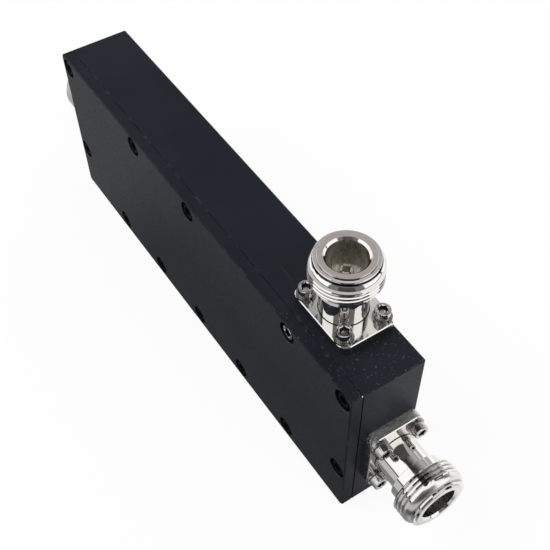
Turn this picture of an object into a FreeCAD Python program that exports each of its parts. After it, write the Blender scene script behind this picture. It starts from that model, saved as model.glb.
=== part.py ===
import FreeCAD, Part
import math
import os
import re
import Sketcher

# A slim directional coupler: a milled housing closed by a screwed cover, two ports in
# line at its ends and a third on its narrow top face. The origin is the middle of the
# underside, +X points to the input port, +Z up, and the cover faces -Y.

SIZES = {
    # Housing and cover
    "body_length": 131.0,
    "body_height": 45.4,
    "housing_depth": 15.9,
    "cover_thickness": 3.0,
    "edge_chamfer": 0.3,
    "seam_chamfer": 0.12,
    "end_wall": 7.0,
    "top_wall": 7.5,
    "bottom_wall": 7.0,
    "back_wall": 2.4,
    "cavity_corner": 3.0,
    # Where the port axes lie
    "port_setback": 7.15,
    "port_rise": 18.4,
    "coupled_setback": 19.25,
    # Port flange and its screw pattern
    "flange_long": 19.0,
    "flange_short": 14.0,
    "flange_thickness": 2.55,
    "flange_corner": 2.2,
    "pitch_long": 13.7,
    "pitch_short": 9.8,
    # Outside of a port, from its flange to its front ring
    "port_length": 18.65,
    "barrel_radius": 5.4,
    "collar_radius": 6.4,
    "collar_start": 9.8,
    "thread_radius": 7.9375,
    "thread_start": 12.4,
    "thread_length": 3.7,
    "thread_chamfer": 0.3,
    "shoulder_bulge": 0.14,
    "lip_radius": 6.95,
    "lip_length": 0.7,
    "ring_radius": 6.15,
    "ring_step": 0.35,
    # Inside of a port
    "mouth_radius": 4.4,
    "mouth_chamfer": 0.5,
    "mouth_depth": 9.1,
    "bore_radius": 3.5,
    # Insulator and spring contact
    "insulator_front": 7.0,
    "tail_radius": 2.08,
    "contact_radius": 1.52,
    "contact_chamfer": 0.25,
    "contact_bore": 0.84,
    "contact_bore_depth": 5.2,
    "contact_seat": 2.0,
    "tip_depth": 4.2,
    "slot_width": 0.35,
    "slot_depth": 4.4,
    "pin_radius": 0.635,
    "pin_grip": 2.4,
    "slip": 0.02,
    # Socket screws and their spring washers
    "screw_radius": 1.0,
    "screw_length": 6.0,
    "head_radius": 1.78,
    "head_height": 2.18,
    "socket_radius": 1.145,
    "socket_depth": 1.0,
    "tapped_radius": 1.03,
    "tapped_depth": 6.5,
    "flange_tapped_depth": 4.5,
    "clearance_radius": 1.15,
    "washer_radius": 2.2,
    "washer_bore": 1.1,
    "washer_thickness": 0.5,
    "washer_split": 0.4,
    # Cover screws
    "counterbore_radius": 2.6,
    "counterbore_depth": 2.4,
    "screw_inset": 2.95,
    "side_screw_rise": 14.0,
    "top_screw_front": 42.2,
    "top_screw_rear": 26.5,
    "bottom_screws": 7,
    # Fixing holes in the back
    "fixing_radius": 1.25,
    "fixing_depth": 6.0,
    "fixing_inset": 7.5,
    "fixing_rise": 3.5,
    # Lines and their supports
    "line_gap": 1.0,
    "main_width": 5.0,
    "main_thickness": 4.0,
    "coupled_rise": 31.0,
    "coupled_width": 3.0,
    "coupled_thickness": 4.0,
    "coupled_rear": 42.0,
    "coupled_overhang": 2.5,
    "support_offset": 28.0,
    "support_width": 6.0,
    "support_wall": 3.4,
    "support_gap": 1.8,
    # Termination of the coupled line
    "load_gap": 1.0,
    "load_clearance": 2.9,
    "carrier_width": 6.4,
    "carrier_height": 8.0,
    "carrier_thickness": 1.4,
    "chip_size": 5.0,
    "tab_thickness": 0.15,
    "tab_width": 1.6,
    "tab_lap": 2.5,
}

# Places that follow from the sizes above. Depths are measured from the seam between
# the cover and the housing, where every sub-part but the ports has its own origin.
SEAM = "(cover_thickness - housing_depth) / 2"
FRONT = "(body_length / 2)"
AXIS = "(housing_depth - port_setback)"
FLOOR = "(housing_depth - back_wall)"
CEILING = "(body_height - top_wall)"
INNER_END = "(body_length / 2 - end_wall)"
COUPLED_X = "(body_length / 2 - coupled_setback)"
MAIN_END = "(body_length / 2 - end_wall - line_gap)"
COUPLED_TOP = "(coupled_rise + coupled_width / 2)"
MAIN_SUPPORT_TOP = "(port_rise + main_width / 2 + support_wall)"
LOAD_X = "(coupled_rear + load_gap + chip_size / 2)"
LOAD_Z = "(body_height - top_wall - load_clearance - carrier_height / 2)"
TAB_HEIGHT = f"(abs(coupled_rise - {LOAD_Z}) + tab_width)"
LOAD_FACE = "(housing_depth - back_wall - carrier_thickness)"
LINE_BACK = "(housing_depth - port_setback + coupled_thickness / 2)"
EDGE_X = "(body_length / 2 - screw_inset)"
TOP_Z = "(body_height - screw_inset)"
TIP = "(port_length - tip_depth)"
RING_SEAT = "(port_length - ring_step)"
LIP_FOOT = "(port_length - ring_step - lip_length)"
THREAD_END = "(thread_start + thread_length)"
SHOULDER = (
    "(thread_radius + lip_radius) / 2 + shoulder_bulge",
    f"({THREAD_END} + {LIP_FOOT}) / 2 + shoulder_bulge",
)
WASHER_TOP = "(flange_thickness + washer_thickness)"
HEAD_SEAT = "(cover_thickness - counterbore_depth)"
PORT_Y = f"{SEAM} + {AXIS}"

HEX = [(math.cos(math.pi * turn / 3), math.sin(math.pi * turn / 3)) for turn in range(6)]

doc = FreeCAD.newDocument("DirectionalCoupler")
sheet = doc.addObject("Spreadsheet::Sheet", "Sizes")
for row, (alias, number) in enumerate(SIZES.items(), start=1):
    sheet.set(f"A{row}", alias)
    sheet.set(f"B{row}", str(number))
    sheet.setAlias(f"B{row}", alias)
doc.recompute()


def bound(text):
    """The text with each size's name pointing at its cell."""
    def cell(word):
        name = word.group()
        return f"Sizes.{name}" if name in SIZES else name

    return re.sub(r"[a-z_]+", cell, text)


def bind(item, name, text):
    item.setExpression(name, bound(text))


def amount(text):
    return float(sheet.evalExpression(bound(text)))


def place(item, across="0", depth="0", rise="0", rotation=FreeCAD.Rotation()):
    """Stand a sub-part at the place that the three texts give."""
    item.Placement = FreeCAD.Placement(FreeCAD.Vector(), rotation)
    for name, text in (("x", across), ("y", depth), ("z", rise)):
        if text != "0":
            bind(item, f"Placement.Base.{name}", text)


def new_body(label):
    body = doc.addObject("PartDesign::Body", label)
    body.Label = label
    return body


def new_sketch(body, role, offset="0"):
    """A sketch on one of the body's origin planes, moved along its normal."""
    sketch = body.newObject("Sketcher::SketchObject", f"{body.Name}_sketch")
    plane = next(item for item in body.Origin.OriginFeatures if item.Role == role)
    sketch.AttachmentSupport = [(plane, "")]
    sketch.MapMode = "FlatFace"
    if offset != "0":
        bind(sketch, "AttachmentOffset.Base.z", offset)
    return sketch


def fix_point(sketch, curve, end, across, up):
    """Tie one end of a curve to the place that the two texts give."""
    for kind, axis, text in (("DistanceX", -2, across), ("DistanceY", -1, up)):
        if text == "0":
            sketch.addConstraint(Sketcher.Constraint("PointOnObject", curve, end, axis))
        else:
            index = sketch.addConstraint(Sketcher.Constraint(kind, -1, 1, curve, end, amount(text)))
            bind(sketch, f"Constraints[{index}]", text)


def add_outline(sketch, corners):
    """A closed outline of straight sides through the corners."""
    points = [FreeCAD.Vector(amount(across), amount(up), 0) for across, up in corners]
    sides = [
        sketch.addGeometry(Part.LineSegment(start, finish))
        for start, finish in zip(points, points[1:] + points[:1])
    ]
    for number, corner in enumerate(corners):
        sketch.addConstraint(Sketcher.Constraint("Coincident", sides[number - 1], 2, sides[number], 1))
        fix_point(sketch, sides[number], 1, *corner)


def add_box(sketch, low_across, low_up, high_across, high_up):
    low_side = [(low_across, low_up), (high_across, low_up)]
    high_side = [(high_across, high_up), (low_across, high_up)]
    add_outline(sketch, low_side + high_side)


def add_circle(sketch, across, up, radius):
    middle = FreeCAD.Vector(amount(across), amount(up), 0)
    curve = sketch.addGeometry(Part.Circle(middle, FreeCAD.Vector(0, 0, 1), amount(radius)))
    fix_point(sketch, curve, 3, across, up)
    index = sketch.addConstraint(Sketcher.Constraint("Radius", curve, amount(radius)))
    bind(sketch, f"Constraints[{index}]", radius)


def add_hexagon(sketch, across, up, radius):
    add_outline(sketch, [(f"{across} + {radius} * {x:.6f}", f"{up} + {radius} * {y:.6f}") for x, y in HEX])


def prism(body, kind, sketch, length, reverse=False):
    """Pad or pocket a sketch by the length that the text gives."""
    feature = body.newObject(f"PartDesign::{kind}", f"{body.Name}_{kind.lower()}")
    feature.Profile = sketch
    feature.Reversed = reverse
    bind(feature, "Length", length)
    doc.recompute()
    return feature


def turned(body, kind, sketch):
    """Turn a sketch once round its upright axis."""
    feature = body.newObject(f"PartDesign::{kind}", f"{body.Name}_{kind.lower()}")
    feature.Profile = sketch
    feature.ReferenceAxis = (sketch, ["V_Axis"])
    feature.Angle = 360
    doc.recompute()
    return feature


def holes(body, sketch, radius, depth, cut_radius=None, cut_depth=None, reverse=False):
    """Drill each circle of a sketch, with a counterbore where one is asked for."""
    hole = body.newObject("PartDesign::Hole", f"{body.Name}_hole")
    hole.Profile = sketch
    hole.Reversed = reverse
    hole.DrillPoint = "Flat"
    bind(hole, "Diameter", f"2 * {radius}")
    if depth is None:
        hole.DepthType = "ThroughAll"
    else:
        hole.DepthType = "Dimension"
        bind(hole, "Depth", depth)
    if cut_radius:
        hole.HoleCutType = "Counterbore"
        hole.HoleCutCustomValues = True
        bind(hole, "HoleCutDiameter", f"2 * {cut_radius}")
        bind(hole, "HoleCutDepth", cut_depth)
    doc.recompute()
    return hole


def mirrored(body, feature, role):
    """Repeat a feature on the other side of one of the body's origin planes."""
    plane = next(item for item in body.Origin.OriginFeatures if item.Role == role)
    mirror = body.newObject("PartDesign::Mirrored", f"{body.Name}_mirror")
    mirror.Originals = [feature]
    mirror.MirrorPlane = (plane, [""])
    body.Tip = mirror
    doc.recompute()
    return mirror


def dress(body, kind, base, size, wanted):
    """Round or chamfer the edges of the last feature that the test picks out."""
    edges = [f"Edge{number}" for number, edge in enumerate(base.Shape.Edges, start=1) if wanted(edge)]
    feature = body.newObject(f"PartDesign::{kind}", f"{body.Name}_{kind.lower()}")
    feature.Base = (base, edges)
    bind(feature, "Radius" if kind == "Fillet" else "Size", size)
    doc.recompute()
    return feature


def near(number, text):
    return abs(number - amount(text)) < 1e-4


def centre_of(edge):
    return edge.BoundBox.Center


# Screw places as pairs of texts, in the plane that the screws stand on
def cover_screw_places():
    step = f"(2 * {EDGE_X} / (bottom_screws - 1))"
    count = int(amount("bottom_screws"))
    bottom = [(f"{number} * {step} - {EDGE_X}", "screw_inset") for number in range(count)]
    top = [(text, TOP_Z) for text in (f"-{EDGE_X}", "-top_screw_rear", "0", EDGE_X)]
    sides = [(text, "side_screw_rise") for text in (f"-{EDGE_X}", EDGE_X)]
    return bottom + top + sides


BLACK_SCREWS = cover_screw_places()
PLATED_SCREW = [("top_screw_front", TOP_Z)]
FLANGE_SCREWS = [
    (f"{side} * pitch_long / 2", f"{flank} * pitch_short / 2")
    for side in (-1, 1)
    for flank in (-1, 1)
]
FIXINGS = [
    (f"{side} * (body_length / 2 - fixing_inset)", up)
    for side in (-1, 1)
    for up in ("fixing_rise", "body_height - fixing_rise")
]


def shifted(places, across, up, swap=False):
    """The same pattern round another centre, turned a quarter where its long side stands up."""
    return [
        (f"{across} + {pair[swap]}", f"{up} + {pair[not swap]}")
        for pair in places
    ]


def circles(body, role, offset, places, radius):
    sketch = new_sketch(body, role, offset)
    for across, up in places:
        add_circle(sketch, across, up, radius)
    return sketch


# The housing lies behind the seam and is open towards the cover
def make_housing():
    body = new_body("housing")
    outline = new_sketch(body, "XZ_Plane")
    add_box(outline, f"-{FRONT}", "0", FRONT, "body_height")
    block = prism(body, "Pad", outline, "housing_depth", reverse=True)
    shell = dress(body, "Chamfer", block, "edge_chamfer", lambda edge: not near(centre_of(edge).y, "0"))
    dress(body, "Chamfer", shell, "seam_chamfer", lambda edge: near(centre_of(edge).y, "0"))

    cavity = new_sketch(body, "XZ_Plane")
    add_box(cavity, f"-{INNER_END}", "bottom_wall", INNER_END, CEILING)
    hollow = prism(body, "Pocket", cavity, FLOOR)

    def cavity_corner(edge):
        return near(edge.Length, FLOOR) and near(abs(centre_of(edge).x), INNER_END)

    dress(body, "Fillet", hollow, "cavity_corner", cavity_corner)

    # Ports: a bore for the insulator's tail and four tapped holes, alike at both ends
    end_bore = circles(body, "YZ_Plane", FRONT, [(AXIS, "port_rise")], "(tail_radius + slip)")
    end_bore = prism(body, "Pocket", end_bore, "end_wall + slip")
    mirrored(body, end_bore, "YZ_Plane")
    end_pattern = shifted(FLANGE_SCREWS, AXIS, "port_rise", swap=True)
    end_taps = circles(body, "YZ_Plane", FRONT, end_pattern, "tapped_radius")
    end_taps = holes(body, end_taps, "tapped_radius", "flange_tapped_depth")
    mirrored(body, end_taps, "YZ_Plane")
    top_bore = circles(body, "XY_Plane", "body_height", [(COUPLED_X, AXIS)], "(tail_radius + slip)")
    prism(body, "Pocket", top_bore, "top_wall + slip")
    top_pattern = shifted(FLANGE_SCREWS, COUPLED_X, AXIS)
    top_taps = circles(body, "XY_Plane", "body_height", top_pattern, "tapped_radius")
    holes(body, top_taps, "tapped_radius", "flange_tapped_depth")

    cover_taps = circles(body, "XZ_Plane", "0", BLACK_SCREWS + PLATED_SCREW, "tapped_radius")
    holes(body, cover_taps, "tapped_radius", "tapped_depth")
    fixings = circles(body, "XZ_Plane", "-housing_depth", FIXINGS, "fixing_radius")
    holes(body, fixings, "fixing_radius", "fixing_depth", reverse=True)
    place(body, depth=SEAM)
    return body


def make_cover():
    body = new_body("cover")
    outline = new_sketch(body, "XZ_Plane")
    add_box(outline, f"-{FRONT}", "0", FRONT, "body_height")
    plate = prism(body, "Pad", outline, "cover_thickness")
    plate = dress(body, "Chamfer", plate, "edge_chamfer", lambda edge: not near(centre_of(edge).y, "0"))
    dress(body, "Chamfer", plate, "seam_chamfer", lambda edge: near(centre_of(edge).y, "0"))
    places = BLACK_SCREWS + PLATED_SCREW
    seats = circles(body, "XZ_Plane", "cover_thickness", places, "clearance_radius")
    holes(body, seats, "clearance_radius", None, "counterbore_radius", "counterbore_depth")
    place(body, depth=SEAM)
    return body


# Cap screws whose heads stand on one plane, as separate solids in one sub-part
def make_screws(label, role, seat, places):
    body = new_body(label)
    prism(body, "Pad", circles(body, role, seat, places, "head_radius"), "head_height")
    shanks = circles(body, role, seat, places, "screw_radius")
    prism(body, "Pad", shanks, "screw_length", reverse=True)
    sockets = new_sketch(body, role, f"{seat} + head_height")
    for across, up in places:
        add_hexagon(sockets, across, up, "socket_radius")
    prism(body, "Pocket", sockets, "socket_depth")
    return body


def make_washers(label, seat, places):
    body = new_body(label)
    rings = circles(body, "XY_Plane", seat, places, "washer_radius")
    for across, up in places:
        add_circle(rings, across, up, "washer_bore")
    prism(body, "Pad", rings, "washer_thickness")
    splits = new_sketch(body, "XY_Plane", f"{seat} + washer_thickness")
    for across, up in places:
        low = (across, f"{up} - washer_split / 2")
        high = (f"{across} + washer_radius + slip", f"{up} + washer_split / 2")
        add_box(splits, *low, *high)
    prism(body, "Pocket", splits, "washer_thickness")
    return body


# A port in its own frame: its axis is Z, its flange lies on the body at z = 0
def make_port_shell(label):
    body = new_body(label)
    outline = new_sketch(body, "XY_Plane")
    add_box(outline, "-flange_long / 2", "-flange_short / 2", "flange_long / 2", "flange_short / 2")
    flange = prism(body, "Pad", outline, "flange_thickness")

    def upright(edge):
        return near(centre_of(edge).z, "flange_thickness / 2")

    dress(body, "Fillet", flange, "flange_corner", upright)

    outside = new_sketch(body, "XZ_Plane")
    add_outline(outside, [
        ("0", "0"),
        ("barrel_radius", "0"),
        ("barrel_radius", "collar_start"),
        ("collar_radius", "collar_start"),
        ("collar_radius", "thread_start"),
        ("thread_radius - thread_chamfer", "thread_start"),
        ("thread_radius", "thread_start + thread_chamfer"),
        ("thread_radius", THREAD_END),
        SHOULDER,
        ("lip_radius", LIP_FOOT),
        ("lip_radius", RING_SEAT),
        ("ring_radius", RING_SEAT),
        ("ring_radius", "port_length"),
        ("0", "port_length"),
    ])
    turned(body, "Revolution", outside)

    inside = new_sketch(body, "XZ_Plane")
    add_outline(inside, [
        ("0", "0"),
        ("bore_radius", "0"),
        ("bore_radius", "port_length - mouth_depth"),
        ("mouth_radius", "port_length - mouth_depth"),
        ("mouth_radius", "port_length - mouth_chamfer"),
        ("mouth_radius + mouth_chamfer", "port_length"),
        ("0", "port_length"),
    ])
    turned(body, "Groove", inside)
    corner_holes = circles(body, "XY_Plane", "flange_thickness", FLANGE_SCREWS, "clearance_radius")
    holes(body, corner_holes, "clearance_radius", None)
    return body


def make_insulator(label, wall):
    body = new_body(label)
    outline = new_sketch(body, "XZ_Plane")
    add_outline(outline, [
        ("pin_radius + slip", f"-{wall}"),
        ("tail_radius", f"-{wall}"),
        ("tail_radius", "0"),
        ("bore_radius - slip", "0"),
        ("bore_radius - slip", "insulator_front"),
        ("contact_radius + slip", "insulator_front"),
        ("contact_radius + slip", "contact_seat"),
        ("pin_radius + slip", "contact_seat"),
    ])
    turned(body, "Revolution", outline)
    return body


def make_contact(label, reach):
    body = new_body(label)
    outline = new_sketch(body, "XZ_Plane")
    add_outline(outline, [
        ("0", f"-{reach}"),
        ("pin_radius", f"-{reach}"),
        ("pin_radius", "contact_seat"),
        ("contact_radius", "contact_seat"),
        ("contact_radius", f"{TIP} - contact_chamfer"),
        ("contact_radius - contact_chamfer", TIP),
        ("contact_bore", TIP),
        ("contact_bore", f"{TIP} - contact_bore_depth"),
        ("0", f"{TIP} - contact_bore_depth"),
    ])
    turned(body, "Revolution", outline)
    slot = new_sketch(body, "XY_Plane", TIP)
    add_box(slot, "0", "-slot_width / 2", "contact_radius + slip", "slot_width / 2")
    slot = prism(body, "Pocket", slot, "slot_depth")
    fingers = body.newObject("PartDesign::PolarPattern", f"{body.Name}_fingers")
    fingers.Originals = [slot]
    fingers.Axis = (next(item for item in body.Origin.OriginFeatures if item.Role == "Z_Axis"), [""])
    fingers.Angle = 360
    fingers.Occurrences = 4
    body.Tip = fingers
    doc.recompute()
    return body


def make_port(name, wall, reach, across, depth, rise, rotation):
    bodies = [
        make_port_shell(f"{name}_port_body"),
        make_insulator(f"{name}_insulator", wall),
        make_contact(f"{name}_contact", reach),
        make_washers(f"{name}_spring_washers", "flange_thickness", FLANGE_SCREWS),
        make_screws(f"{name}_flange_screws", "XY_Plane", WASHER_TOP, FLANGE_SCREWS),
    ]
    for body in bodies:
        place(body, across, depth, rise, rotation)
    return bodies


# The two lines are square bars on the port axes' plane
def make_main_line():
    body = new_body("main_line")
    section = new_sketch(body, "YZ_Plane", f"-{MAIN_END}")
    low = (f"{AXIS} - main_thickness / 2", "port_rise - main_width / 2")
    high = (f"{AXIS} + main_thickness / 2", "port_rise + main_width / 2")
    add_box(section, *low, *high)
    prism(body, "Pad", section, f"2 * {MAIN_END}")
    pin_bore = circles(body, "YZ_Plane", MAIN_END, [(AXIS, "port_rise")], "(pin_radius + slip)")
    pin_bore = prism(body, "Pocket", pin_bore, "pin_grip + slip")
    mirrored(body, pin_bore, "YZ_Plane")
    place(body, depth=SEAM)
    return body


def make_coupled_line():
    body = new_body("coupled_line")
    section = new_sketch(body, "YZ_Plane", "-coupled_rear")
    low = (f"{AXIS} - coupled_thickness / 2", "coupled_rise - coupled_width / 2")
    high = (LINE_BACK, COUPLED_TOP)
    add_box(section, *low, *high)
    prism(body, "Pad", section, f"coupled_rear + {COUPLED_X} + coupled_overhang")
    pin_bore = circles(body, "XY_Plane", COUPLED_TOP, [(COUPLED_X, AXIS)], "(pin_radius + slip)")
    prism(body, "Pocket", pin_bore, "pin_grip + slip")
    place(body, depth=SEAM)
    return body


# A pair of blocks with a slot that opens towards the cover, so a line drops in
def make_supports(label, foot, top, slot_foot, slot_top, slot_back):
    body = new_body(label)
    section = new_sketch(body, "YZ_Plane", "support_offset - support_width / 2")
    add_outline(section, [
        ("0", foot),
        (FLOOR, foot),
        (FLOOR, top),
        ("0", top),
        ("0", slot_top),
        (slot_back, slot_top),
        (slot_back, slot_foot),
        ("0", slot_foot),
    ])
    block = prism(body, "Pad", section, "support_width")
    mirrored(body, block, "YZ_Plane")
    place(body, depth=SEAM)
    return body


# The load that ends the coupled line: a carrier on the cavity floor and a chip, both
# kept clear of the ceiling, and a tab that reaches from the line to the chip
def block(label, size, corner):
    box = doc.addObject("Part::Box", label)
    for name, text in zip(("Length", "Width", "Height"), size):
        bind(box, name, text)
    place(box, *corner)
    return box


def make_load():
    chip_back = f"{LINE_BACK} + tab_thickness"
    tab_foot = f"(coupled_rise + {LOAD_Z} - {TAB_HEIGHT}) / 2"
    return [
        block(
            "termination_carrier",
            ("carrier_width", "carrier_thickness", "carrier_height"),
            (f"-{LOAD_X} - carrier_width / 2", f"{SEAM} + {LOAD_FACE}", f"{LOAD_Z} - carrier_height / 2"),
        ),
        block(
            "termination_chip",
            ("chip_size", f"{LOAD_FACE} - ({chip_back})", "chip_size"),
            (f"-{LOAD_X} - chip_size / 2", f"{SEAM} + {chip_back}", f"{LOAD_Z} - chip_size / 2"),
        ),
        block(
            "termination_tab",
            ("load_gap + 2 * tab_lap", "tab_thickness", TAB_HEIGHT),
            ("-coupled_rear - load_gap - tab_lap", f"{SEAM} + {LINE_BACK}", tab_foot),
        ),
    ]


subparts = [make_housing(), make_cover()]
for label, places in (("cover_screws", BLACK_SCREWS), ("plated_cover_screw", PLATED_SCREW)):
    screws = make_screws(label, "XZ_Plane", HEAD_SEAT, places)
    place(screws, depth=SEAM)
    subparts.append(screws)

# Each rotation takes the port's Z outwards and its long side along the body's face
X = FreeCAD.Vector(1, 0, 0)
Y = FreeCAD.Vector(0, 1, 0)
Z = FreeCAD.Vector(0, 0, 1)
END_REACH = "(end_wall + line_gap + pin_grip)"
TOP_REACH = f"(body_height - {COUPLED_TOP} + pin_grip)"
front_place = (FRONT, PORT_Y, "port_rise", FreeCAD.Rotation(Z, -Y, X))
rear_place = (f"-{FRONT}", PORT_Y, "port_rise", FreeCAD.Rotation(Z, Y, -X))
top_place = (COUPLED_X, PORT_Y, "body_height", FreeCAD.Rotation(X, Y, Z))
subparts += make_port("input", "end_wall", END_REACH, *front_place)
subparts += make_port("output", "end_wall", END_REACH, *rear_place)
subparts += make_port("coupled", "top_wall", TOP_REACH, *top_place)

subparts += [make_main_line(), make_coupled_line()]
subparts.append(make_supports(
    "main_line_supports",
    foot="bottom_wall",
    top=MAIN_SUPPORT_TOP,
    slot_foot="port_rise - main_width / 2",
    slot_top="port_rise + main_width / 2",
    slot_back=f"{AXIS} + main_thickness / 2",
))
subparts.append(make_supports(
    "coupled_line_supports",
    foot=f"{MAIN_SUPPORT_TOP} + support_gap",
    top=CEILING,
    slot_foot="coupled_rise - coupled_width / 2",
    slot_top=COUPLED_TOP,
    slot_back=LINE_BACK,
))
subparts += make_load()

doc.recompute()
for item in doc.Objects:
    if "Invalid" in item.State or "Error" in item.State:
        raise RuntimeError(f"{item.Label} failed: {item.State}")
for part in subparts:
    if part.Shape.isNull() or not part.Shape.isValid():
        raise RuntimeError(f"{part.Label} has no valid shape")

os.makedirs("parts", exist_ok=True)
for part in subparts:
    part.Shape.exportStep(f"parts/{part.Label}.step")
    print(part.Label, len(part.Shape.Solids), round(part.Shape.Volume, 1))
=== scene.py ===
import math

import bmesh
import bpy
from mathutils import Matrix, Quaternion, Vector


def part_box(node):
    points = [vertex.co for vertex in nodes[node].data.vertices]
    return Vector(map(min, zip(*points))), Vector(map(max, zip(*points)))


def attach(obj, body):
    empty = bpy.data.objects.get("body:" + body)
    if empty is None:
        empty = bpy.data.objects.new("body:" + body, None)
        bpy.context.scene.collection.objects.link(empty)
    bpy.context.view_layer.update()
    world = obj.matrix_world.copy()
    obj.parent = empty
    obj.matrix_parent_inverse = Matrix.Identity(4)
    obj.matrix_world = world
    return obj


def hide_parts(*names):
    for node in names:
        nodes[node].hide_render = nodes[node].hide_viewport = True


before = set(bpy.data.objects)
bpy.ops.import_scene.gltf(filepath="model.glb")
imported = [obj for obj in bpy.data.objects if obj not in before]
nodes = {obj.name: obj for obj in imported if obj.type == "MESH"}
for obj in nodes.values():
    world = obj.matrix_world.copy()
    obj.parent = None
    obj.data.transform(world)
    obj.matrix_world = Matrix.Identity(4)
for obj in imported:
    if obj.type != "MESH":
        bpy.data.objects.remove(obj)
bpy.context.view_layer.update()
mm = 0.001
print("frame loaded")


# Camera: where the photo was taken from, in metres, and how its 550 pixel frame was cut
cameraSetup = {
    "place": (0.140143, -0.073978, 0.202572),
    "direction": (-0.48199, 0.33468, -0.80974),
    "roll": 0.88,  # degrees, clockwise
    "lens": 61.26,
    "shift": (-0.0450, 0.1147),
}


def placeCamera():
    camera = bpy.data.objects.new("photoCamera", bpy.data.cameras.new("photoCamera"))
    bpy.context.scene.collection.objects.link(camera)
    camera.data.sensor_width = 36
    camera.data.lens = cameraSetup["lens"]
    camera.data.shift_x, camera.data.shift_y = cameraSetup["shift"]
    camera.data.clip_start = 0.01
    camera.location = cameraSetup["place"]
    level = Vector(cameraSetup["direction"]).to_track_quat("-Z", "Y")
    roll = Quaternion((0, 0, 1), math.radians(cameraSetup["roll"]))
    camera.rotation_mode = "QUATERNION"
    camera.rotation_quaternion = level @ roll
    bpy.context.scene.camera = camera


placeCamera()
bpy.context.scene.view_settings.view_transform = "Standard"
print("camera placed")


# Which rays a Light Path node tells apart, by the number of its output
rayOutputs = {"camera": 0, "mirror": 3, "through": 6}


# A node's output that Python can reckon with
class Flow:
    def __init__(self, tree, socket):
        self.tree = tree
        self.socket = socket

    def reckon(self, operation, first, second):
        return self.node("ShaderNodeMath", {"operation": operation}, {0: first, 1: second})

    def node(self, kind, settings, values, out=0):
        made = self.tree.nodes.new(kind)
        for name, setting in settings.items():
            setattr(made, name, setting)
        for name, value in values.items():
            if isinstance(value, Flow):
                self.tree.links.new(value.socket, made.inputs[name])
            else:
                made.inputs[name].default_value = value
        return Flow(self.tree, made.outputs[out])

    def __add__(self, other):
        return self.reckon("ADD", self, other)

    def __sub__(self, other):
        return self.reckon("SUBTRACT", self, other)

    def __mul__(self, other):
        return self.reckon("MULTIPLY", self, other)

    def __truediv__(self, other):
        return self.reckon("DIVIDE", self, other)

    def __rsub__(self, other):
        return self.reckon("SUBTRACT", other, self)

    def __gt__(self, other):
        return self.reckon("GREATER_THAN", self, other)

    def __lt__(self, other):
        return self.reckon("LESS_THAN", self, other)

    def __abs__(self):
        return self.reckon("ABSOLUTE", self, 0)

    __radd__ = __add__
    __rmul__ = __mul__

    def power(self, exponent):
        return self.reckon("POWER", self, exponent)

    def between(self, low, high, outLow=0.0, outHigh=1.0):
        values = {"Value": self, "From Min": low, "From Max": high, "To Min": outLow, "To Max": outHigh}
        return self.node("ShaderNodeMapRange", {"interpolation_type": "SMOOTHSTEP"}, values)

    def blend(self, first, second):
        settings = {"data_type": "RGBA", "clamp_factor": True}
        return self.node("ShaderNodeMix", settings, {0: self, 6: first, 7: second}, out=2)

    def noise(self, scale, detail=2.0, stretch=(1, 1, 1), turn=(0, 0, 0)):
        mapped = self.node("ShaderNodeMapping", {}, {"Vector": self, "Rotation": turn, "Scale": stretch})
        values = {"Vector": mapped, "Scale": scale, "Detail": detail, "Roughness": 0.55}
        return self.node("ShaderNodeTexNoise", {}, values)

    def parts(self):
        return [self.node("ShaderNodeSeparateXYZ", {}, {0: self}, out=number) for number in range(3)]

    def relief(self, distance):
        return self.node("ShaderNodeBump", {}, {"Strength": 1.0, "Distance": distance, "Height": self})

    def ray(self, kind):
        return self.node("ShaderNodeLightPath", {}, {}, out=rayOutputs[kind])


# A material with a principled shader: its constants are set here and its patterns linked later
def newFinish(name, colour, rough, metallic=0.0, specular=0.5):
    material = bpy.data.materials.new(name)
    material.use_nodes = True
    shader = material.node_tree.nodes["Principled BSDF"]
    shader.inputs["Base Color"].default_value = colour
    shader.inputs["Roughness"].default_value = rough
    shader.inputs["Metallic"].default_value = metallic
    shader.inputs["Specular IOR Level"].default_value = specular
    start = Flow(material.node_tree, None)
    where = start.node("ShaderNodeTexCoord", {}, {}, out=3)
    return material, shader, where


def feed(shader, name, flow):
    flow.tree.links.new(flow.socket, shader.inputs[name])


# Black anodised aluminium: a fine matt grain, faint machining lines, a painted highlight in patches
# along the edges, painted shade along the seam, strongest at the ends, and in the counterbores, pale
# specks on the top beside the coupled port, and a pale spot at the corner where the seam meets the
# top. Scales are in cells a metre. Where a pair stands for a pattern's limits, it is 0 up to the
# first and full from the second on.
anodised = {
    "colour": (0.0072, 0.0085, 0.0130, 1),
    "paler": (0.0092, 0.0108, 0.0160, 1),
    "wearAndHighlight": (0.075, 0.075, 0.080, 1),
    "paintedShade": (0.0012, 0.0013, 0.0016, 1),
    "paleCornerColour": (0.62, 0.62, 0.62, 1),
    "roughness": 0.42,
    "specular": 0.12,
    "cloudScale": 60,
    "grainScale": 2600,
    "lineScale": 900,
    "scratchScale": 520,
    "scratchLimits": (0.69, 0.78),
    "scratchTurn": 0.06,
    "scratchShare": 0.2,
    "speckScale": 1500,
    "speckLimits": (0.63, 0.72),
    "speckStart": (28 * mm, 46 * mm),
    "speckShare": 0.7,
    "highlightScale": 700,
    "highlightLimits": (0.5, 0.72),
    "highlightShare": 0.5,
    "grainShare": 0.6,
    "relief": 0.012 * mm,
    "edgeWidth": 0.35 * mm,
    "edgeFull": 0.1 * mm,
    "deepRoughness": 0.4,
    "seam": -6.45 * mm,
    "seamWidth": 0.13 * mm,
    "seamShade": 0.35,
    "endSeamWidth": 0.18 * mm,
    "sunk": 0.35 * mm,
    "chip": 0.30 * mm,
}


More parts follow.
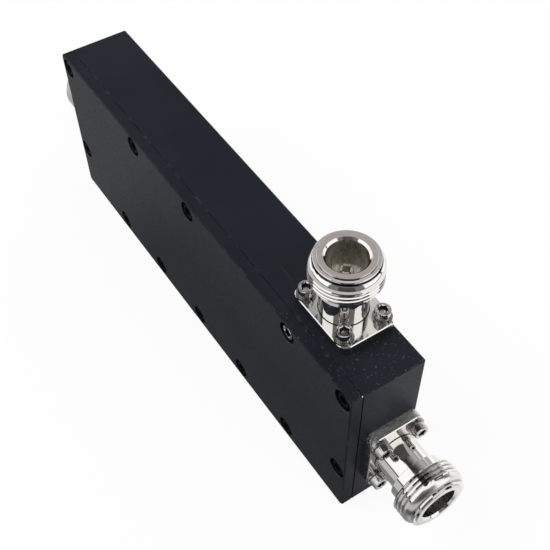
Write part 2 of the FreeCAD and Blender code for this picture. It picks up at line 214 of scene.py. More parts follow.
def makeAnodised(name, low, high):
    look = anodised
    material, shader, where = newFinish(
        name, look["colour"], look["roughness"], specular=look["specular"],
    )
    cloud = where.noise(look["cloudScale"], 4)
    grain = where.noise(look["grainScale"], 2)
    lines = where.noise(look["lineScale"], 3, stretch=(0.02, 1, 1))
    turn = (0, 0, look["scratchTurn"])
    scratch = where.noise(look["scratchScale"], 2, stretch=(0.10, 1, 1), turn=turn)
    specks = where.noise(look["speckScale"], 2).between(*look["speckLimits"])
    parts = where.parts()
    centre, half = (low + high) / 2, (high - low) / 2
    fromMiddle = [abs(part - centre[axis]) for axis, part in enumerate(parts)]
    rims = [
        distance.between(half[axis] - look["edgeWidth"], half[axis] - look["edgeFull"])
        for axis, distance in enumerate(fromMiddle)
    ]
    rim = rims[0] * rims[1] + rims[1] * rims[2] + rims[0] * rims[2]
    # Painted highlight in patches along the body's edges
    edgeHighlight = rim * where.noise(look["highlightScale"], 3).between(*look["highlightLimits"])
    # Painted shade in recesses such as the counterbores: all that lies more than the sunk depth inside
    # the part's box
    inside = [distance < half[axis] - look["sunk"] for axis, distance in enumerate(fromMiddle)]
    sunk = inside[0] * inside[1] * inside[2]
    # Painted shade along the seam, strongest where it meets the ends
    fromSeam = abs(parts[1] - look["seam"])
    seam = (fromSeam < look["seamWidth"]) * look["seamShade"]
    atEnd = fromMiddle[0] > half[0] - look["edgeWidth"]
    seam = seam.reckon("MAXIMUM", seam, atEnd * (fromSeam < look["endSeamWidth"]))
    paintedShade = sunk.reckon("MAXIMUM", sunk, seam)
    # A pale spot at the corner where the seam meets the top
    corner = (high.x, look["seam"] - look["edgeFull"], high.z)
    away = [part - corner[axis] for axis, part in enumerate(parts)]
    distance = (away[0] * away[0] + away[1] * away[1] + away[2] * away[2]).power(0.5)
    chipped = distance < look["chip"]
    handled = parts[0].between(*look["speckStart"]) * (parts[2] > high.z - look["edgeWidth"])
    wear = scratch.between(*look["scratchLimits"]) * look["scratchShare"]
    wear = wear + specks * handled * look["speckShare"]
    tint = cloud.between(0.35, 0.65).blend(look["colour"], look["paler"])
    # Scratches and specks are wear; the painted edge highlight takes the same pale colour
    tint = wear.blend(tint, look["wearAndHighlight"])
    tint = (edgeHighlight * look["highlightShare"]).blend(tint, look["wearAndHighlight"])
    tint = paintedShade.blend(tint, look["paintedShade"])
    tint = chipped.blend(tint, look["paleCornerColour"])
    rough = grain.between(0.3, 0.7, look["roughness"] - 0.04, look["roughness"] + 0.06)
    feed(shader, "Base Color", tint)
    feed(shader, "Roughness", rough + paintedShade * look["deepRoughness"])
    bumps = grain * look["grainShare"] + lines * (1 - look["grainShare"])
    feed(shader, "Normal", bumps.relief(look["relief"]))
    return material


# Bright nickel on turned brass: mirror-like, with turning lines round the piece's own axis. The
# front ring and the flange's walls are satin, the walls are scuffed and carry a painted dark
# reflection, the mouth is streaked and has painted shade toward its front, and painted shade
# darkens the foot of the barrel, the thread's roots and the grooves behind lip and ring.
# Widths and depths are in millimetres.
nickel = {
    "colour": (0.81, 0.795, 0.77, 1),
    "wallColour": (0.40, 0.395, 0.39, 1),
    "grooveShade": (0.05, 0.047, 0.042, 1),
    "roughness": 0.06,
    "ringRoughness": 0.34,
    "cloudScale": 900,
    "turning": (9, 3.5),  # lines a millimetre, outwards and along
    "streakScale": 1600,
    "grooveShadeScale": 1100,
    "scuffScale": 2600,
    "wallScale": 2200,
    "wallShade": 0.45,
    "scuffShade": 0.55,
    "scuffRelief": 6,
    "turningRelief": 0.5,
    "relief": 0.004 * mm,
    "footWidth": 0.16,
    "neckShade": (0.20, 0.08),
    "rootShade": (0.34, 0.16),
    "stepWidth": 0.03,
    "stepBelow": 0.09,
    "stepShade": 0.7,
    "mouthShade": (5.5, 1, 0.7),  # where it starts and is full, below the front, and how much
    "skyward": 0.4,
}
endLooks = {
    "ring": (0.78, 0.77, 0.75, 1),
    "mouth": (0.76, 0.75, 0.74, 1),
    "mouthRim": (0.30, 0.30, 0.30, 1),
    "grooveShade": 0.35,
    "root": 0.40,
    "shoulder": 0.16,
}
portLooks = {
    "coupled": {
        "ring": (0.86, 0.76, 0.725, 1),
        "mouth": (0.80, 0.775, 0.70, 1),
        "mouthRim": (0.20, 0.185, 0.16, 1),
        "grooveShade": 1.0,
        "root": 0.80,
        "shoulder": 0.0,
    },
    "input": endLooks,
    "output": endLooks,
}


def makeNickel(name, port):
    material, shader, where = newFinish(
        f"{name}Nickel", nickel["colour"], nickel["roughness"], metallic=1.0,
    )
    looks, shape = portLooks[name], portShape
    axis, centre = port["axis"], port["place"]
    flangeLong, flangeThick = shape["flange"][0], shape["flange"][2]
    ringRadius, ringHeight = shape["ring"]
    lipRadius, lipFoot = shape["lip"][:2]
    neckRadius, neckHeight = shape["neck"]
    major, threadFoot, threadTop = shape["thread"]

    parts = where.parts()
    outward = 1 if port["tip"] > centre[axis] else -1
    along = (parts[axis] - centre[axis]) * (outward / mm)
    others = [(parts[number] - centre[number]) / mm for number in range(3) if number != axis]
    radius = (others[0] * others[0] + others[1] * others[1]).power(0.5)
    stretch = [1, 1, 1]
    stretch[axis] = 0.04
    streaks = where.noise(nickel["streakScale"], 3, stretch=stretch)
    outLines, alongLines = nickel["turning"]
    turned = {0: radius * outLines, 1: along * alongLines, 2: 0.0}
    turning = radius.node("ShaderNodeCombineXYZ", {}, turned).noise(1, 2)

    front = along.between(ringHeight - 0.06, ringHeight - 0.02)
    wall = (along < flangeThick - shape["rim"] - 0.02) * (radius > shape["barrel"] + 0.2)
    skyward = wall * (parts[2] > centre.z + (flangeLong / 2 - nickel["skyward"]) * mm)
    scuffed = wall * where.noise(nickel["scuffScale"], 4, stretch=(1, 0.4, 1)).between(0.38, 0.62)
    mouth = (radius < shape["mouth"][0] + 0.02) * (along > 1)
    shadeStart, shadeFull, shade = nickel["mouthShade"]
    rimShade = mouth * along.between(ringHeight - shadeStart, ringHeight - shadeFull, 0, shade)
    shoulder = along.between(threadTop, threadTop + 0.3) * (along < lipFoot) * (radius > ringRadius)

    # Painted shade in the creases: at the barrel's foot, behind the lip, at the ring's step and in the
    # thread's roots
    footWidth, stepWidth = nickel["footWidth"], nickel["stepWidth"]
    neckStart, neckFull = nickel["neckShade"]
    rootFull, rootEnd = nickel["rootShade"]
    foot = (abs(radius - shape["barrel"]) < footWidth) * (abs(along - flangeThick) < footWidth)
    neck = along.between(lipFoot - neckStart, lipFoot - neckFull) * (along < lipFoot + neckHeight - 0.01)
    neck = neck * (radius > neckRadius - 0.1)
    root = radius.between(major - rootFull, major - rootEnd, 1, 0) * (radius > lipRadius + 0.2)
    root = root * (along > threadFoot + 0.1) * (along < threadTop - 0.1)
    step = (abs(radius - ringRadius) < stepWidth) * (along > ringHeight - 1)
    step = step * (along < ringHeight - nickel["stepBelow"])
    grooveShade = foot + (neck + step * nickel["stepShade"]) * looks["grooveShade"] + root * looks["root"]
    grooveShade = grooveShade * where.noise(nickel["grooveShadeScale"], 2).between(0.25, 0.5, 0.75, 1)

    tint = front.blend(nickel["colour"], looks["ring"])
    tint = (mouth * streaks.between(0.35, 0.65, 0.35, 1)).blend(tint, looks["mouth"])
    tint = rimShade.blend(tint, looks["mouthRim"])
    # Painted dark reflection on the flange's walls, with scuffs in patches
    paintedReflectionAndScuffs = wall * nickel["wallShade"] + scuffed * nickel["scuffShade"]
    tint = paintedReflectionAndScuffs.blend(tint, nickel["wallColour"])
    tint = grooveShade.blend(tint, nickel["grooveShade"])

    cloud = where.noise(nickel["cloudScale"], 3)
    uneven = where.noise(nickel["wallScale"], 3)
    rough = cloud.between(0.3, 0.7, nickel["roughness"] - 0.03, nickel["roughness"] + 0.05)
    rough = rough + front * (nickel["ringRoughness"] - nickel["roughness"])
    rough = rough + (wall - skyward) * uneven.between(0.42, 0.62, 0.02, 0.16)
    rough = rough + skyward * uneven.between(0.35, 0.65, 0.26, 0.44)
    rough = rough + shoulder * looks["shoulder"]
    rough = rough + mouth * streaks.between(0.3, 0.7, 0.14, 0.30)
    feed(shader, "Base Color", tint)
    feed(shader, "Roughness", rough)
    bumps = turning * nickel["turningRelief"] + scuffed * nickel["scuffRelief"]
    feed(shader, "Normal", bumps.relief(nickel["relief"]))
    return material


# What the plain finishes share: the scale of each pattern, and how deep the two grains are
plainGrain = {
    "plated": (3000, 0.006 * mm),
    "matt": (4000, 0.01 * mm),
    "roughScale": 1500,
    "glintScale": 1900,
    "shadeScale": 500,
}


def giveGrain(shader, where, kind):
    scale, depth = plainGrain[kind]
    feed(shader, "Normal", where.noise(scale, 2).relief(depth))


def makePlated(name, colour, rough, metallic=1.0, specular=0.5):
    material, shader, where = newFinish(name, colour, rough, metallic=metallic, specular=specular)
    cloud = where.noise(plainGrain["roughScale"], 3)
    feed(shader, "Roughness", cloud.between(0.3, 0.7, rough * 0.75, rough * 1.35))
    giveGrain(shader, where, "plated")
    return material


# A plated head with painted shade from its deep seat, and painted glints of bright plating in spots
def makeShadeAndGlints(name, colour, glint, rough):
    material, shader, where = newFinish(name, colour, rough, metallic=1.0)
    glints = where.noise(plainGrain["glintScale"], 2).between(0.50, 0.60)
    feed(shader, "Base Color", glints.blend(colour, glint))
    giveGrain(shader, where, "plated")
    return material


def makeMatt(name, colour, paler, rough, specular=0.5):
    material, shader, where = newFinish(name, colour, rough, specular=specular)
    shades = where.noise(plainGrain["shadeScale"], 3).between(0.35, 0.65)
    feed(shader, "Base Color", shades.blend(colour, paler))
    giveGrain(shader, where, "matt")
    return material


def coat(item, material):
    item.data.materials.clear()
    item.data.materials.append(material)


finishes = {
    "plated": makePlated("brightPlatedSteel", (0.60, 0.585, 0.565, 1), 0.13),
    "spring": makePlated("springSteel", (0.34, 0.33, 0.32, 1), 0.20),
    # The plated cover screw: painted shade with painted glints
    "shadeAndGlintPlate": makeShadeAndGlints("shadeAndGlintPlateSteel", (0.06, 0.06, 0.07, 1), (0.92, 0.94, 1.0, 1), 0.12),
    "blackSteel": makePlated(
        "blackOxideSteel", (0.004, 0.004, 0.005, 1), 0.35, metallic=0.0, specular=0.015,
    ),
    "socketShade": makeMatt("socketShade", (0.010, 0.010, 0.010, 1), (0.022, 0.021, 0.020, 1), 0.5),
    "deepSocket": makeMatt(
        "deepSocketShade", (0.0012, 0.0012, 0.0014, 1), (0.003, 0.003, 0.003, 1), 0.6, 0.05,
    ),
    # Painted highlight for the counterbores' leads: dark with pale patches
    "edgeHighlight": makeMatt("edgeHighlightAnodised", (0.004, 0.004, 0.006, 1), (0.05, 0.05, 0.055, 1), 0.45),
    "gold": makePlated("paleGoldPlate", (0.95, 0.91, 0.80, 1), 0.45),
    "silver": makePlated("silverPlate", (0.84, 0.83, 0.80, 1), 0.22),
    "ptfe": makeMatt("whitePtfe", (0.74, 0.73, 0.68, 1), (0.84, 0.83, 0.79, 1), 0.42),
    "ceramic": makeMatt("whiteCeramic", (0.86, 0.86, 0.83, 1), (0.92, 0.92, 0.90, 1), 0.35),
}
for name in ("housing", "cover"):
    finishes[name] = makeAnodised(f"{name}Anodised", *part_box(name))

# The nodes that keep the CAD's shape, but for those of the ports
for finish, names in (
    ("housing", ["housing"]),
    ("silver", ["main_line", "coupled_line", "termination_tab", "termination_carrier"]),
    ("ptfe", ["main_line_supports", "coupled_line_supports"]),
    ("ceramic", ["termination_chip"]),
):
    for name in names:
        coat(nodes[name], finishes[finish])
print("finishes made")


# Each port's own frame: Z runs out along its axis and X along the flange's long side
def portFrame(name, outward, long):
    low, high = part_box(f"{name}_port_body")
    place = (low + high) / 2
    axis = max(range(3), key=lambda number: abs(outward[number]))
    place[axis] = low[axis] if outward[axis] > 0 else high[axis]
    out, side = Vector(outward), Vector(long)
    turn = Matrix((side, out.cross(side), out)).transposed()
    tip = high[axis] if outward[axis] > 0 else low[axis]
    matrix = Matrix.Translation(place) @ turn.to_4x4()
    return {"matrix": matrix, "axis": axis, "place": place, "tip": tip}


ports = {
    "input": portFrame("input", (1, 0, 0), (0, 0, 1)),
    "output": portFrame("output", (-1, 0, 0), (0, 0, 1)),
    "coupled": portFrame("coupled", (0, 0, 1), (1, 0, 0)),
}


weldDistance = 0.0005  # millimetres, as is the next
matchDistance = 0.001


def finishPiece(mesh, name, matrix, materials, smoothAngle=35):
    bmesh.ops.remove_doubles(mesh, verts=mesh.verts, dist=weldDistance)
    bmesh.ops.recalc_face_normals(mesh, faces=mesh.faces)
    bmesh.ops.scale(mesh, verts=mesh.verts, vec=(mm, mm, mm))
    bmesh.ops.transform(mesh, verts=mesh.verts, matrix=matrix)
    data = bpy.data.meshes.new(name)
    mesh.to_mesh(data)
    mesh.free()
    data.shade_smooth()
    data.set_sharp_from_angle(angle=math.radians(smoothAngle))
    piece = bpy.data.objects.new(name, data)
    bpy.context.scene.collection.objects.link(piece)
    for material in materials:
        data.materials.append(material)
    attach(piece, "root")
    return piece


# A line of points, each a radius and a height, turned once round Z
def turnProfile(mesh, points, steps):
    corners = [mesh.verts.new((radius, 0, height)) for radius, height in points]
    sides = [mesh.edges.new(pair) for pair in zip(corners, corners[1:])]
    bmesh.ops.spin(
        mesh, geom=corners + sides, cent=(0, 0, 0), axis=(0, 0, 1), dvec=(0, 0, 0),
        angle=2 * math.pi, steps=steps, use_merge=True,
    )


# The edges of a turned mesh that lie on one circle round Z
def loopAt(mesh, radius, height):
    def onLoop(corner):
        flat = math.hypot(corner.co.x, corner.co.y)
        return abs(flat - radius) < matchDistance and abs(corner.co.z - height) < matchDistance

    return [edge for edge in mesh.edges if all(onLoop(corner) for corner in edge.verts)]


# Walls drawn up from a loop of edges; returns the new corners and edges
def raised(mesh, edges, height):
    made = bmesh.ops.extrude_edge_only(mesh, edges=edges)["geom"]
    corners = [item for item in made if isinstance(item, bmesh.types.BMVert)]
    bmesh.ops.translate(mesh, verts=corners, vec=(0, 0, height))
    return corners, [item for item in made if isinstance(item, bmesh.types.BMEdge)]


# The outline of a plate with rounded corners, centred, at height 0
def plateOutline(mesh, length, width, corner, segments):
    plate = bmesh.ops.create_grid(mesh, x_segments=1, y_segments=1, size=0.5)["verts"]
    bmesh.ops.scale(mesh, vec=(length, width, 1), verts=plate)
    bmesh.ops.bevel(
        mesh, geom=plate, affect="VERTICES", offset=corner, segments=segments, profile=0.5, material=-1,
    )
    plateFace = max(mesh.faces, key=lambda face: len(face.verts))
    outline = list(plateFace.edges)
    bmesh.ops.delete(mesh, geom=[plateFace], context="FACES_ONLY")
    return outline


# Port body, in millimetres from the flange's back face
portShape = {
    "flange": (19.0, 14.0, 2.55),  # long side, short side, thickness
    "corner": 2.2,
    "cornerSteps": 8,
    "rim": 0.18,
    "pitch": (13.7, 9.8),
    "screwHole": 1.15,
    "holeSteps": 24,
    "barrel": 5.4,
    "collar": (6.4, 9.8),  # radius, foot
    "thread": (7.9375, 12.4, 16.1),  # radius, foot, top
    "threadPitch": 25.4 / 24,
    "threadDepth": 0.50,
    "rootFlat": 0.12,
    "leadIn": 0.3,
    "runOut": 0.3,
    "threadEnd": 0.02,
    "lip": (6.95, 17.6, 18.3),  # radius, foot, top
    "neck": (6.62, 0.40),  # radius, height
    "ring": (6.15, 18.65),  # radius, top
    "mouth": (4.4, 0.5, 9.55),  # radius, lead, floor
    "bore": 3.5,
    "shoulderCurve": 2.2,
    "edge": 0.07,
    "steps": 120,
}


# The shoulder is an arc between two corners of the profile; these are the points between them
def shoulderPoints(start, finish, radius, count=9):
    chord = finish - start
    side = Vector((-chord.y, chord.x)).normalized()
    centre = start + chord / 2 + side * math.sqrt(radius ** 2 - chord.length_squared / 4)
    first, last = start - centre, finish - centre
    sweep = first.angle_signed(last)
    turns = [sweep * number / count for number in range(1, count)]
    return [centre + Matrix.Rotation(-turn, 2) @ first for turn in turns]


def portProfile():
    shape = portShape
    collarRadius, collarFoot = shape["collar"]
    major, threadFoot, threadTop = shape["thread"]
    lipRadius, lipFoot, lipTop = shape["lip"]
    neckRadius, neckHeight = shape["neck"]
    ringRadius, top = shape["ring"]
    mouthRadius, mouthLead, mouthFloor = shape["mouth"]
    edge = shape["edge"]
    below = [
        (shape["barrel"], shape["flange"][2]),
        (shape["barrel"], collarFoot),
        (collarRadius - edge, collarFoot),
        (collarRadius, collarFoot + edge),
        (collarRadius, threadFoot),
        (major - shape["leadIn"], threadFoot),
    ]
    above = [(major, threadTop)]
    shoulder = Vector((major, threadTop)), Vector((lipRadius, lipFoot))
    above += shoulderPoints(*shoulder, shape["shoulderCurve"])
    above += [
        (lipRadius, lipFoot),
        (neckRadius, lipFoot),
        (neckRadius, lipFoot + neckHeight),
        (lipRadius, lipFoot + neckHeight),
        (lipRadius, lipTop - edge),
        (lipRadius - edge, lipTop),
        (ringRadius, lipTop),
        (ringRadius, top - edge),
        (ringRadius - edge, top),
        (mouthRadius + mouthLead, top),
        (mouthRadius, top - mouthLead),
        (mouthRadius, mouthFloor),
        (shape["bore"], mouthFloor),
        (shape["bore"], 0),
    ]
    return below, above


# The thread is one line of crests and grooves that climbs a pitch as it goes round once. What
# it has beyond either end is drawn in to that end's circle, so the grooves run out there.
def threadLine():
    shape = portShape
    major, threadFoot, threadTop = shape["thread"]
    pitch, depth, root = shape["threadPitch"], shape["threadDepth"], shape["rootFlat"] / 2
    flank = depth * math.tan(math.radians(30))
    onePitch = [
        (0, 0),
        (pitch / 2 - root - flank, 0),
        (pitch / 2 - root, depth),
        (pitch / 2 + root, depth),
        (pitch / 2 + root + flank, 0),
    ]
    turns = math.ceil((threadTop - threadFoot) / pitch) + 2
    first = threadFoot - pitch
    return [
        (major - cut, first + pitch * number + along)
        for number in range(turns)
        for along, cut in onePitch
    ]


def addThread(mesh):
    shape = portShape
    major, threadFoot, threadTop = shape["thread"]
    corners = [mesh.verts.new((radius, 0, height)) for radius, height in threadLine()]
    sides = [mesh.edges.new(pair) for pair in zip(corners, corners[1:])]
    bmesh.ops.spin(
        mesh, geom=corners + sides, cent=(0, 0, 0), axis=(0, 0, 1),
        dvec=(0, 0, shape["threadPitch"] / shape["steps"]),
        angle=2 * math.pi, steps=shape["steps"], use_merge=False,
    )
    for corner in mesh.verts:
        radius = math.hypot(corner.co.x, corner.co.y)
        height = corner.co.z
        cut = (major - radius) * min(1, max(0, (threadTop - height) / shape["runOut"]))
        cut = max(cut, shape["leadIn"] + threadFoot - height)
        if height < threadFoot + shape["threadEnd"]:
            height, cut = threadFoot, shape["leadIn"]
        if height > threadTop - shape["threadEnd"]:
            height, cut = threadTop, 0
        corner.co = ((major - cut) * corner.co.x / radius, (major - cut) * corner.co.y / radius, height)


def flangeScrewPlaces():
    pitchLong, pitchShort = portShape["pitch"]
    return [(side * pitchLong / 2, flank * pitchShort / 2) for side in (-1, 1) for flank in (-1, 1)]


# The flange's walls rise from one outline; its faces are filled between the outline and the rings
def addFlange(mesh):
    length, width, thick = portShape["flange"]
    rim = portShape["rim"]
    outline = plateOutline(mesh, length, width, portShape["corner"], portShape["cornerSteps"])
    holeLoops = []
    for across, up in flangeScrewPlaces():
        place = Matrix.Translation((across, up, 0))
        made = bmesh.ops.create_circle(
            mesh, segments=portShape["holeSteps"], radius=portShape["screwHole"], matrix=place,
        )
        holeLoops += list({edge for corner in made["verts"] for edge in corner.link_edges})

    wallTop = raised(mesh, outline, thick - rim)[1]
    rising, top = raised(mesh, wallTop, rim)
    bmesh.ops.scale(mesh, verts=rising, vec=(1 - 2 * rim / length, 1 - 2 * rim / width, 1))
    holeTops = raised(mesh, holeLoops, thick)[1]
    for height, edges, ring in (
        (thick, top + holeTops, portShape["barrel"]),
        (0, outline + holeLoops, portShape["bore"]),
    ):
        bmesh.ops.triangle_fill(mesh, edges=edges + loopAt(mesh, ring, height), use_beauty=True)


def makePortBody(name):
    port = ports[name]
    mesh = bmesh.new()
    addThread(mesh)
    for points in portProfile():
        turnProfile(mesh, points, portShape["steps"])
    bmesh.ops.remove_doubles(mesh, verts=mesh.verts, dist=weldDistance)
    addFlange(mesh)
    materials = [makeNickel(name, port)]
    piece = finishPiece(mesh, f"{name}PortBody", port["matrix"], materials, 28)
    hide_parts(f"{name}_port_body")


for name in ports:
    makePortBody(name)
print("ports made")


# Socket cap screw, in millimetres, with its head's seat at height 0
screwShape = {
    "head": (1.78, 2.18),  # radius, height
    "headEdge": 0.18,
    "edgeCurve": 0.3,  # share of the edge that its middle corner stands in
    "seatEdge": 0.1,
    "knurl": 0.05,
    "knurlEnd": (0.02, 0.2),  # how far in and how far down
    "shank": (1.0, 6.0),  # radius, length
    "tip": 0.2,
    "countersink": 1.26,
    "countersinkSlope": 0.6,
    "socketFlat": 0.9916,
    "socketDepth": 1.0,
    "drill": (0.62, 0.25),  # radius, depth of its cone
    "steps": 72,
}


# Turned from a profile; then the socket's circle is drawn out to a hexagon and the head is knurled
def addCapScrew(mesh, place):
    shape = screwShape
    headRadius, headHeight = shape["head"]
    shankRadius, shankLength = shape["shank"]
    edge, seatEdge = shape["headEdge"], shape["seatEdge"]
    curve = shape["edgeCurve"] * edge
    knurlIn, knurlDown = shape["knurlEnd"]
    drillRadius, drillDepth = shape["drill"]
    floor = headHeight - shape["socketDepth"]
    socketTop = headHeight - shape["countersinkSlope"] * (shape["countersink"] - shape["socketFlat"])
    points = [
        (0, -shankLength),
        (shankRadius - shape["tip"], -shankLength),
        (shankRadius, shape["tip"] - shankLength),
        (shankRadius, 0),
        (headRadius - seatEdge, 0),
        (headRadius, seatEdge),
        (headRadius, headHeight - edge - knurlDown),
        (headRadius - knurlIn, headHeight - edge),
        (headRadius - curve, headHeight - curve),
        (headRadius - edge, headHeight),
        (shape["countersink"], headHeight),
        (shape["socketFlat"], socketTop),
        (shape["socketFlat"], floor),
        (drillRadius, floor),
        (0, floor - drillDepth),
    ]
    start = set(mesh.verts)
    turnProfile(mesh, points, shape["steps"])
    made = [corner for corner in mesh.verts if corner not in start]
    for face in {face for corner in made for face in corner.link_faces}:
        middle = face.calc_center_median()
        if floor - matchDistance < middle.z < socketTop and middle.xy.length < shape["countersink"]:
            face.material_index = 1
    for corner in made:
        radius = math.hypot(corner.co.x, corner.co.y)
        turn = math.atan2(corner.co.y, corner.co.x)
        step = round(turn / (2 * math.pi) * shape["steps"])
        scale = 1
        if abs(radius - shape["socketFlat"]) < matchDistance:
            scale = 1 / math.cos(turn % (math.pi / 3) - math.pi / 6)
        elif abs(radius - headRadius) < matchDistance and step % 2:
            scale = 1 - shape["knurl"] / radius
        corner.co.x *= scale
        corner.co.y *= scale
    bmesh.ops.transform(mesh, verts=made, matrix=place)


# Each screw is turned by its own angle, as a hand leaves it
socketTurns = {
    "input": (10, 44, 23, 52),
    "output": (31, 5, 48, 17),
    "coupled": (38, 12, 27, 50),
}
washerThickness = 0.5
for name, turns in socketTurns.items():
    mesh = bmesh.new()
    seat = portShape["flange"][2] + washerThickness
    for (across, up), turn in zip(flangeScrewPlaces(), turns):
        place = Matrix.Translation((across, up, seat)) @ Matrix.Rotation(math.radians(turn), 4, "Z")
        addCapScrew(mesh, place)
    materials = [finishes["plated"], finishes["socketShade"]]
    piece = finishPiece(mesh, f"{name}FlangeScrews", ports[name]["matrix"], materials)
    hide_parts(f"{name}_flange_screws")
    coat(nodes[f"{name}_spring_washers"], finishes["spring"])
    coat(nodes[f"{name}_insulator"], finishes["ptfe"])
    coat(nodes[f"{name}_contact"], finishes["gold"])
print("flange screws made")


# Cover screws, in millimetres: they sit in counterbores, in rows an inset in from the cover's
# edges. The two bottom corners have none.
coverScrews = {
    "counterboreDepth": 2.4,
    "inset": 2.95,
    "bottomCount": 7,
    "topRear": 26.5,
    "platedFront": 42.2,
    "sideRise": 14.0,
    "turn": 17,  # degrees, from each screw to the next
}


# The places of the black screws and those of the plated one
def coverScrewPlaces():
    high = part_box("cover")[1]
    reach = high.x / mm - coverScrews["inset"]
    top = high.z / mm - coverScrews["inset"]
    spacing = 2 * reach / (coverScrews["bottomCount"] - 1)
    bottom = range(1, coverScrews["bottomCount"] - 1)
    places = [(number * spacing - reach, coverScrews["inset"]) for number in bottom]
    places += [(across, top) for across in (-reach, -coverScrews["topRear"], 0, reach)]
    places += [(across, coverScrews["sideRise"]) for across in (-reach, reach)]
    return places, [(coverScrews["platedFront"], top)]


def makeCoverScrews():
    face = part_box("cover")[0].y / mm
    black, plated = coverScrewPlaces()
    outward = Matrix.Rotation(math.pi / 2, 4, "X")
    for name, places, finish, slot, node in (
        ("coverScrews", black, "blackSteel", "black_steel", "cover_screws"),
        ("platedCoverScrew", plated, "shadeAndGlintPlate", "plated_steel", "plated_cover_screw"),
    ):
        mesh = bmesh.new()
        for number, (across, up) in enumerate(places):
            seat = Matrix.Translation((across, face + coverScrews["counterboreDepth"], up))
            turn = Matrix.Rotation(math.radians(coverScrews["turn"] * number), 4, "Z")
            addCapScrew(mesh, seat @ outward @ turn)
        materials = [finishes[finish], finishes["deepSocket"]]
        piece = finishPiece(mesh, name, Matrix.Identity(4), materials)
        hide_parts(node)


# Cover plate, in millimetres out from the seam. Each counterbore has a small lead at its mouth that
# carries a painted highlight in patches, and each is turned a little more than the one before,
# because the fills leave a gap where three corners of different circles stand in one line.
coverShape = {
    "corner": 0.3,
    "rim": 0.3,
    "seamEdge": 0.12,
    "counterbore": 2.6,
    "lead": 0.07,
    "clearance": 1.15,
    "steps": 48,
    "seatTurn": 1.3,
}


def makeCover():
    low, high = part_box("cover")
    size, centre = (high - low) / mm, (low + high) / 2
    length, thick, height = size
    rim, edge = coverShape["rim"], coverShape["seamEdge"]
    mesh = bmesh.new()
    seamOutline = plateOutline(mesh, length - 2 * edge, height - 2 * edge, coverShape["corner"], 1)
    rising, loop = raised(mesh, seamOutline, edge)
    full = (length / (length - 2 * edge), height / (height - 2 * edge), 1)
    bmesh.ops.scale(mesh, verts=rising, vec=full)
    loop = raised(mesh, loop, thick - rim - edge)[1]
    rising, outerLoop = raised(mesh, loop, rim)
    bmesh.ops.scale(mesh, verts=rising, vec=(1 - 2 * rim / length, 1 - 2 * rim / height, 1))
    radius, lead, clearance = coverShape["counterbore"], coverShape["lead"], coverShape["clearance"]
    floor = thick - coverScrews["counterboreDepth"]
    seat = [
        (radius + lead, thick),
        (radius, thick - lead),
        (radius, floor),
        (clearance, floor),
        (clearance, 0),
    ]
    black, plated = coverScrewPlaces()
    mouths, backs = [], []
    for number, (across, rise) in enumerate(black + plated):
        start = set(mesh.verts)
        turnProfile(mesh, seat, coverShape["steps"])
        mouths += loopAt(mesh, radius + lead, thick)
        backs += loopAt(mesh, clearance, 0)
        made = [corner for corner in mesh.verts if corner not in start]
        # The lead's faces take the painted highlight
        for face in {face for corner in made for face in corner.link_faces}:
            if face.calc_center_median().z > thick - lead:
                face.material_index = 1
        turn = Matrix.Rotation(math.radians(coverShape["seatTurn"] * number), 4, "Z")
        place = Matrix.Translation((across - centre.x / mm, rise - centre.z / mm, 0))
        bmesh.ops.transform(mesh, verts=made, matrix=place @ turn)
    for edges in (seamOutline + backs, outerLoop + mouths):
        bmesh.ops.triangle_fill(mesh, edges=edges, use_beauty=True)
    matrix = Matrix.Translation((centre.x, high.y, centre.z)) @ Matrix.Rotation(math.pi / 2, 4, "X")
    materials = [finishes["cover"], finishes["edgeHighlight"]]
    piece = finishPiece(mesh, "coverPlate", matrix, materials)
    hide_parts("cover")


makeCoverScrews()
makeCover()
print("cover and its screws made")


# A pale floor, soft lamps, and a white surround that glossy pieces see as soft boxes between
# dark cards. A soft box has its azimuth, half width, low and high elevation, in degrees, and its
# level. A shade has the same and takes its share away. A lamp has its name, place, aim, size and
# power.
studio = {
    "floorSize": 3.0,
    "floorColour": (0.66, 0.66, 0.66, 1),
    "floorGlow": 0.93,
    "floorMirrored": {"near": 0.25, "rear": 0.50, "front": 0.60, "far": 1.0, "card": 0.05},
    "floorZones": {
        "rear": (-0.070, -0.025),
        "front": (-0.036, -0.029),
        "side": (0.084, 0.092),
        "far": (-0.012, 0.014),
    },
    "floorCard": {
        "nearEdge": (0.078, 0.092),
        "farEdge": (0.100, 0.112),
        "aside": 0.030,
        "half": 0.018,
        "spread": 0.08,
        "soft": 0.006,
    },
    "ambient": 0.40,
    "cardLevel": 0.03,
    "farCardLevel": 0.46,
    "farStart": (0.20, 0.58),
    "towardCamera": (0.8212, -0.5706),
    "softBoxes": (
        (-113, 31, 5, 27, 1.2),
        (-69, 13, 2, 42, 0.20),
        (-112, 30, 38, 62, 1.2),
        (-105, 23, 20, 42, 1.2),
        (35, 22, 20, 42, 1.2),
        (-35, 24, 2, 42, 0.07),
        (-35, 45, 42, 63, 0.18),
        (-35, 95, 60, 78, 1.2),
        (-35, 170, 74, 88, 1.2),
        (38, 27, 3, 27, 1.2),
        (0, 13, 2, 42, 0.20),
        (39, 26, 38, 62, 1.2),
        (126, 13, 25, 40, 1.2),
        (145, 76, -20, 17, 1.2),
        (140, 2.5, 50.3, 52.5, 1.2),
    ),
    "shades": (
        (155, 40, 20, 46, 0.35),
        (146, 4, 52.5, 54.5, 0.45),
    ),
    "boxEdge": 2.0,
    "lamps": (
        ("keyLamp", (-0.25, -0.55, 0.75), (0, 0, 0.02), 0.55, 6.8),
        ("fillLamp", (0.75, 0.10, 0.55), (0, 0, 0.02), 0.45, 3.4),
        ("backLamp", (-0.35, 0.60, 0.60), (0, 0, 0.02), 0.50, 3.8),
    ),
}


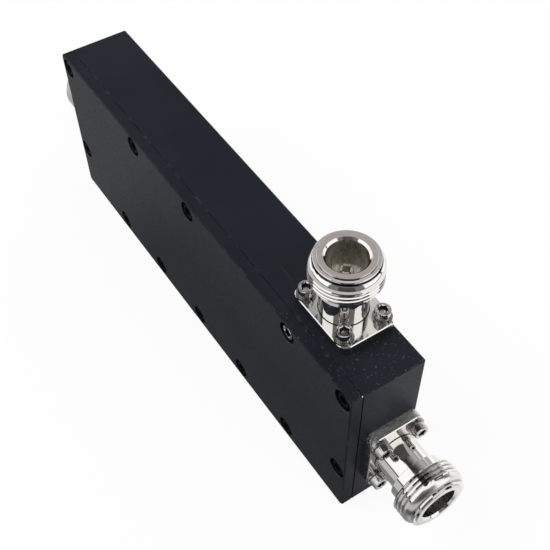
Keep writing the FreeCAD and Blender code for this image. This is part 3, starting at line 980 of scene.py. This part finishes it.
# How bright the floor looks in a mirror: a mid grey at the cover's side, paler toward the rear
# end, along the front and beyond the near end, white behind, and with a dark card on it before
# the camera
def mirroredFloor(where):
    levels, zones, card = studio["floorMirrored"], studio["floorZones"], studio["floorCard"]
    east, north = where.parts()[:2]
    toward = studio["towardCamera"]
    ahead = east * toward[0] + north * toward[1]
    aside = abs(north * toward[0] - east * toward[1] - card["aside"]) - ahead * card["spread"]
    carded = ahead.between(*card["nearEdge"]) * ahead.between(*card["farEdge"], 1, 0)
    carded = carded * aside.between(card["half"] - card["soft"], card["half"], 1, 0)
    pale = east.between(*zones["rear"], levels["rear"], levels["near"])
    front = north.between(*zones["front"], 1, 0)
    front = front.reckon("MAXIMUM", front, east.between(*zones["side"]))
    pale = pale + front * (levels["front"] - pale)
    pale = pale + north.between(*zones["far"]) * (levels["far"] - pale)
    return pale + carded * (levels["card"] - pale)


def makeFloor():
    mesh = bmesh.new()
    bmesh.ops.create_grid(mesh, x_segments=1, y_segments=1, size=studio["floorSize"] / 2)
    data = bpy.data.meshes.new("studioFloor")
    mesh.to_mesh(data)
    mesh.free()
    floor = bpy.data.objects.new("studioFloor", data)
    bpy.context.scene.collection.objects.link(floor)
    material, shader, where = newFinish("paleFloor", studio["floorColour"], 0.9)
    tree = material.node_tree
    seen, mirrored = where.ray("camera"), where.ray("mirror")
    level = seen + mirrored * mirroredFloor(where)
    glow = where.node("ShaderNodeEmission", {}, {"Color": (1, 1, 1, 1), "Strength": level})
    share = seen * studio["floorGlow"] + mirrored
    body = Flow(tree, shader.outputs[0])
    mixed = share.node("ShaderNodeMixShader", {}, {0: share, 1: body, 2: glow})
    tree.links.new(mixed.socket, tree.nodes["Material Output"].inputs["Surface"])
    data.materials.append(material)


def sine(degrees):
    return math.sin(math.radians(degrees))


def cosine(degrees):
    return math.cos(math.radians(degrees))


# One soft box: its level inside its azimuths and elevations, 0 outside, with a soft edge
def softBox(direction, azimuth, halfWidth, low, high, level):
    edge = studio["boxEdge"]
    east, north, up = direction
    flat = (east * east + north * north).power(0.5) + 0.0001  # never 0, as it divides
    facing = (east * cosine(azimuth) + north * sine(azimuth)) / flat
    wide = facing.between(cosine(halfWidth + edge), cosine(halfWidth - edge))
    above = up.between(sine(low - edge), sine(low + edge))
    below = up.between(sine(high - edge), sine(high + edge), 1, 0)
    return wide * above * below * level


def makeWorld():
    world = bpy.data.worlds.new("studioWorld")
    bpy.context.scene.world = world
    world.use_nodes = True
    tree = world.node_tree
    start = Flow(tree, None)
    seen, mirrored, through = start.ray("camera"), start.ray("mirror"), start.ray("through")
    where = start.node("ShaderNodeTexCoord", {}, {}, out=0)
    direction = where.parts()
    toward = studio["towardCamera"]
    away = direction[0] * -toward[0] + direction[1] * -toward[1]
    level = away.between(*studio["farStart"], studio["cardLevel"], studio["farCardLevel"])
    for box in studio["softBoxes"]:
        level = level.reckon("MAXIMUM", level, softBox(direction, *box))
    for shade in studio["shades"]:
        level = level * (1 - softBox(direction, *shade))
    white = seen + through + mirrored * level
    diffuse = (1 - seen) * (1 - through) * (1 - mirrored) * studio["ambient"]
    tree.links.new((white + diffuse).socket, tree.nodes["Background"].inputs["Strength"])
    tree.nodes["Background"].inputs["Color"].default_value = (1, 1, 1, 1)


def makeLamps():
    for name, place, aim, size, power in studio["lamps"]:
        data = bpy.data.lights.new(name, "AREA")
        data.shape = "SQUARE"
        data.size = size
        data.energy = power
        lamp = bpy.data.objects.new(name, data)
        lamp.location = place
        lamp.rotation_mode = "QUATERNION"
        lamp.rotation_quaternion = (Vector(aim) - Vector(place)).to_track_quat("-Z", "Y")
        lamp.visible_glossy = False
        bpy.context.scene.collection.objects.link(lamp)


makeFloor()
makeWorld()
makeLamps()
print("studio made")
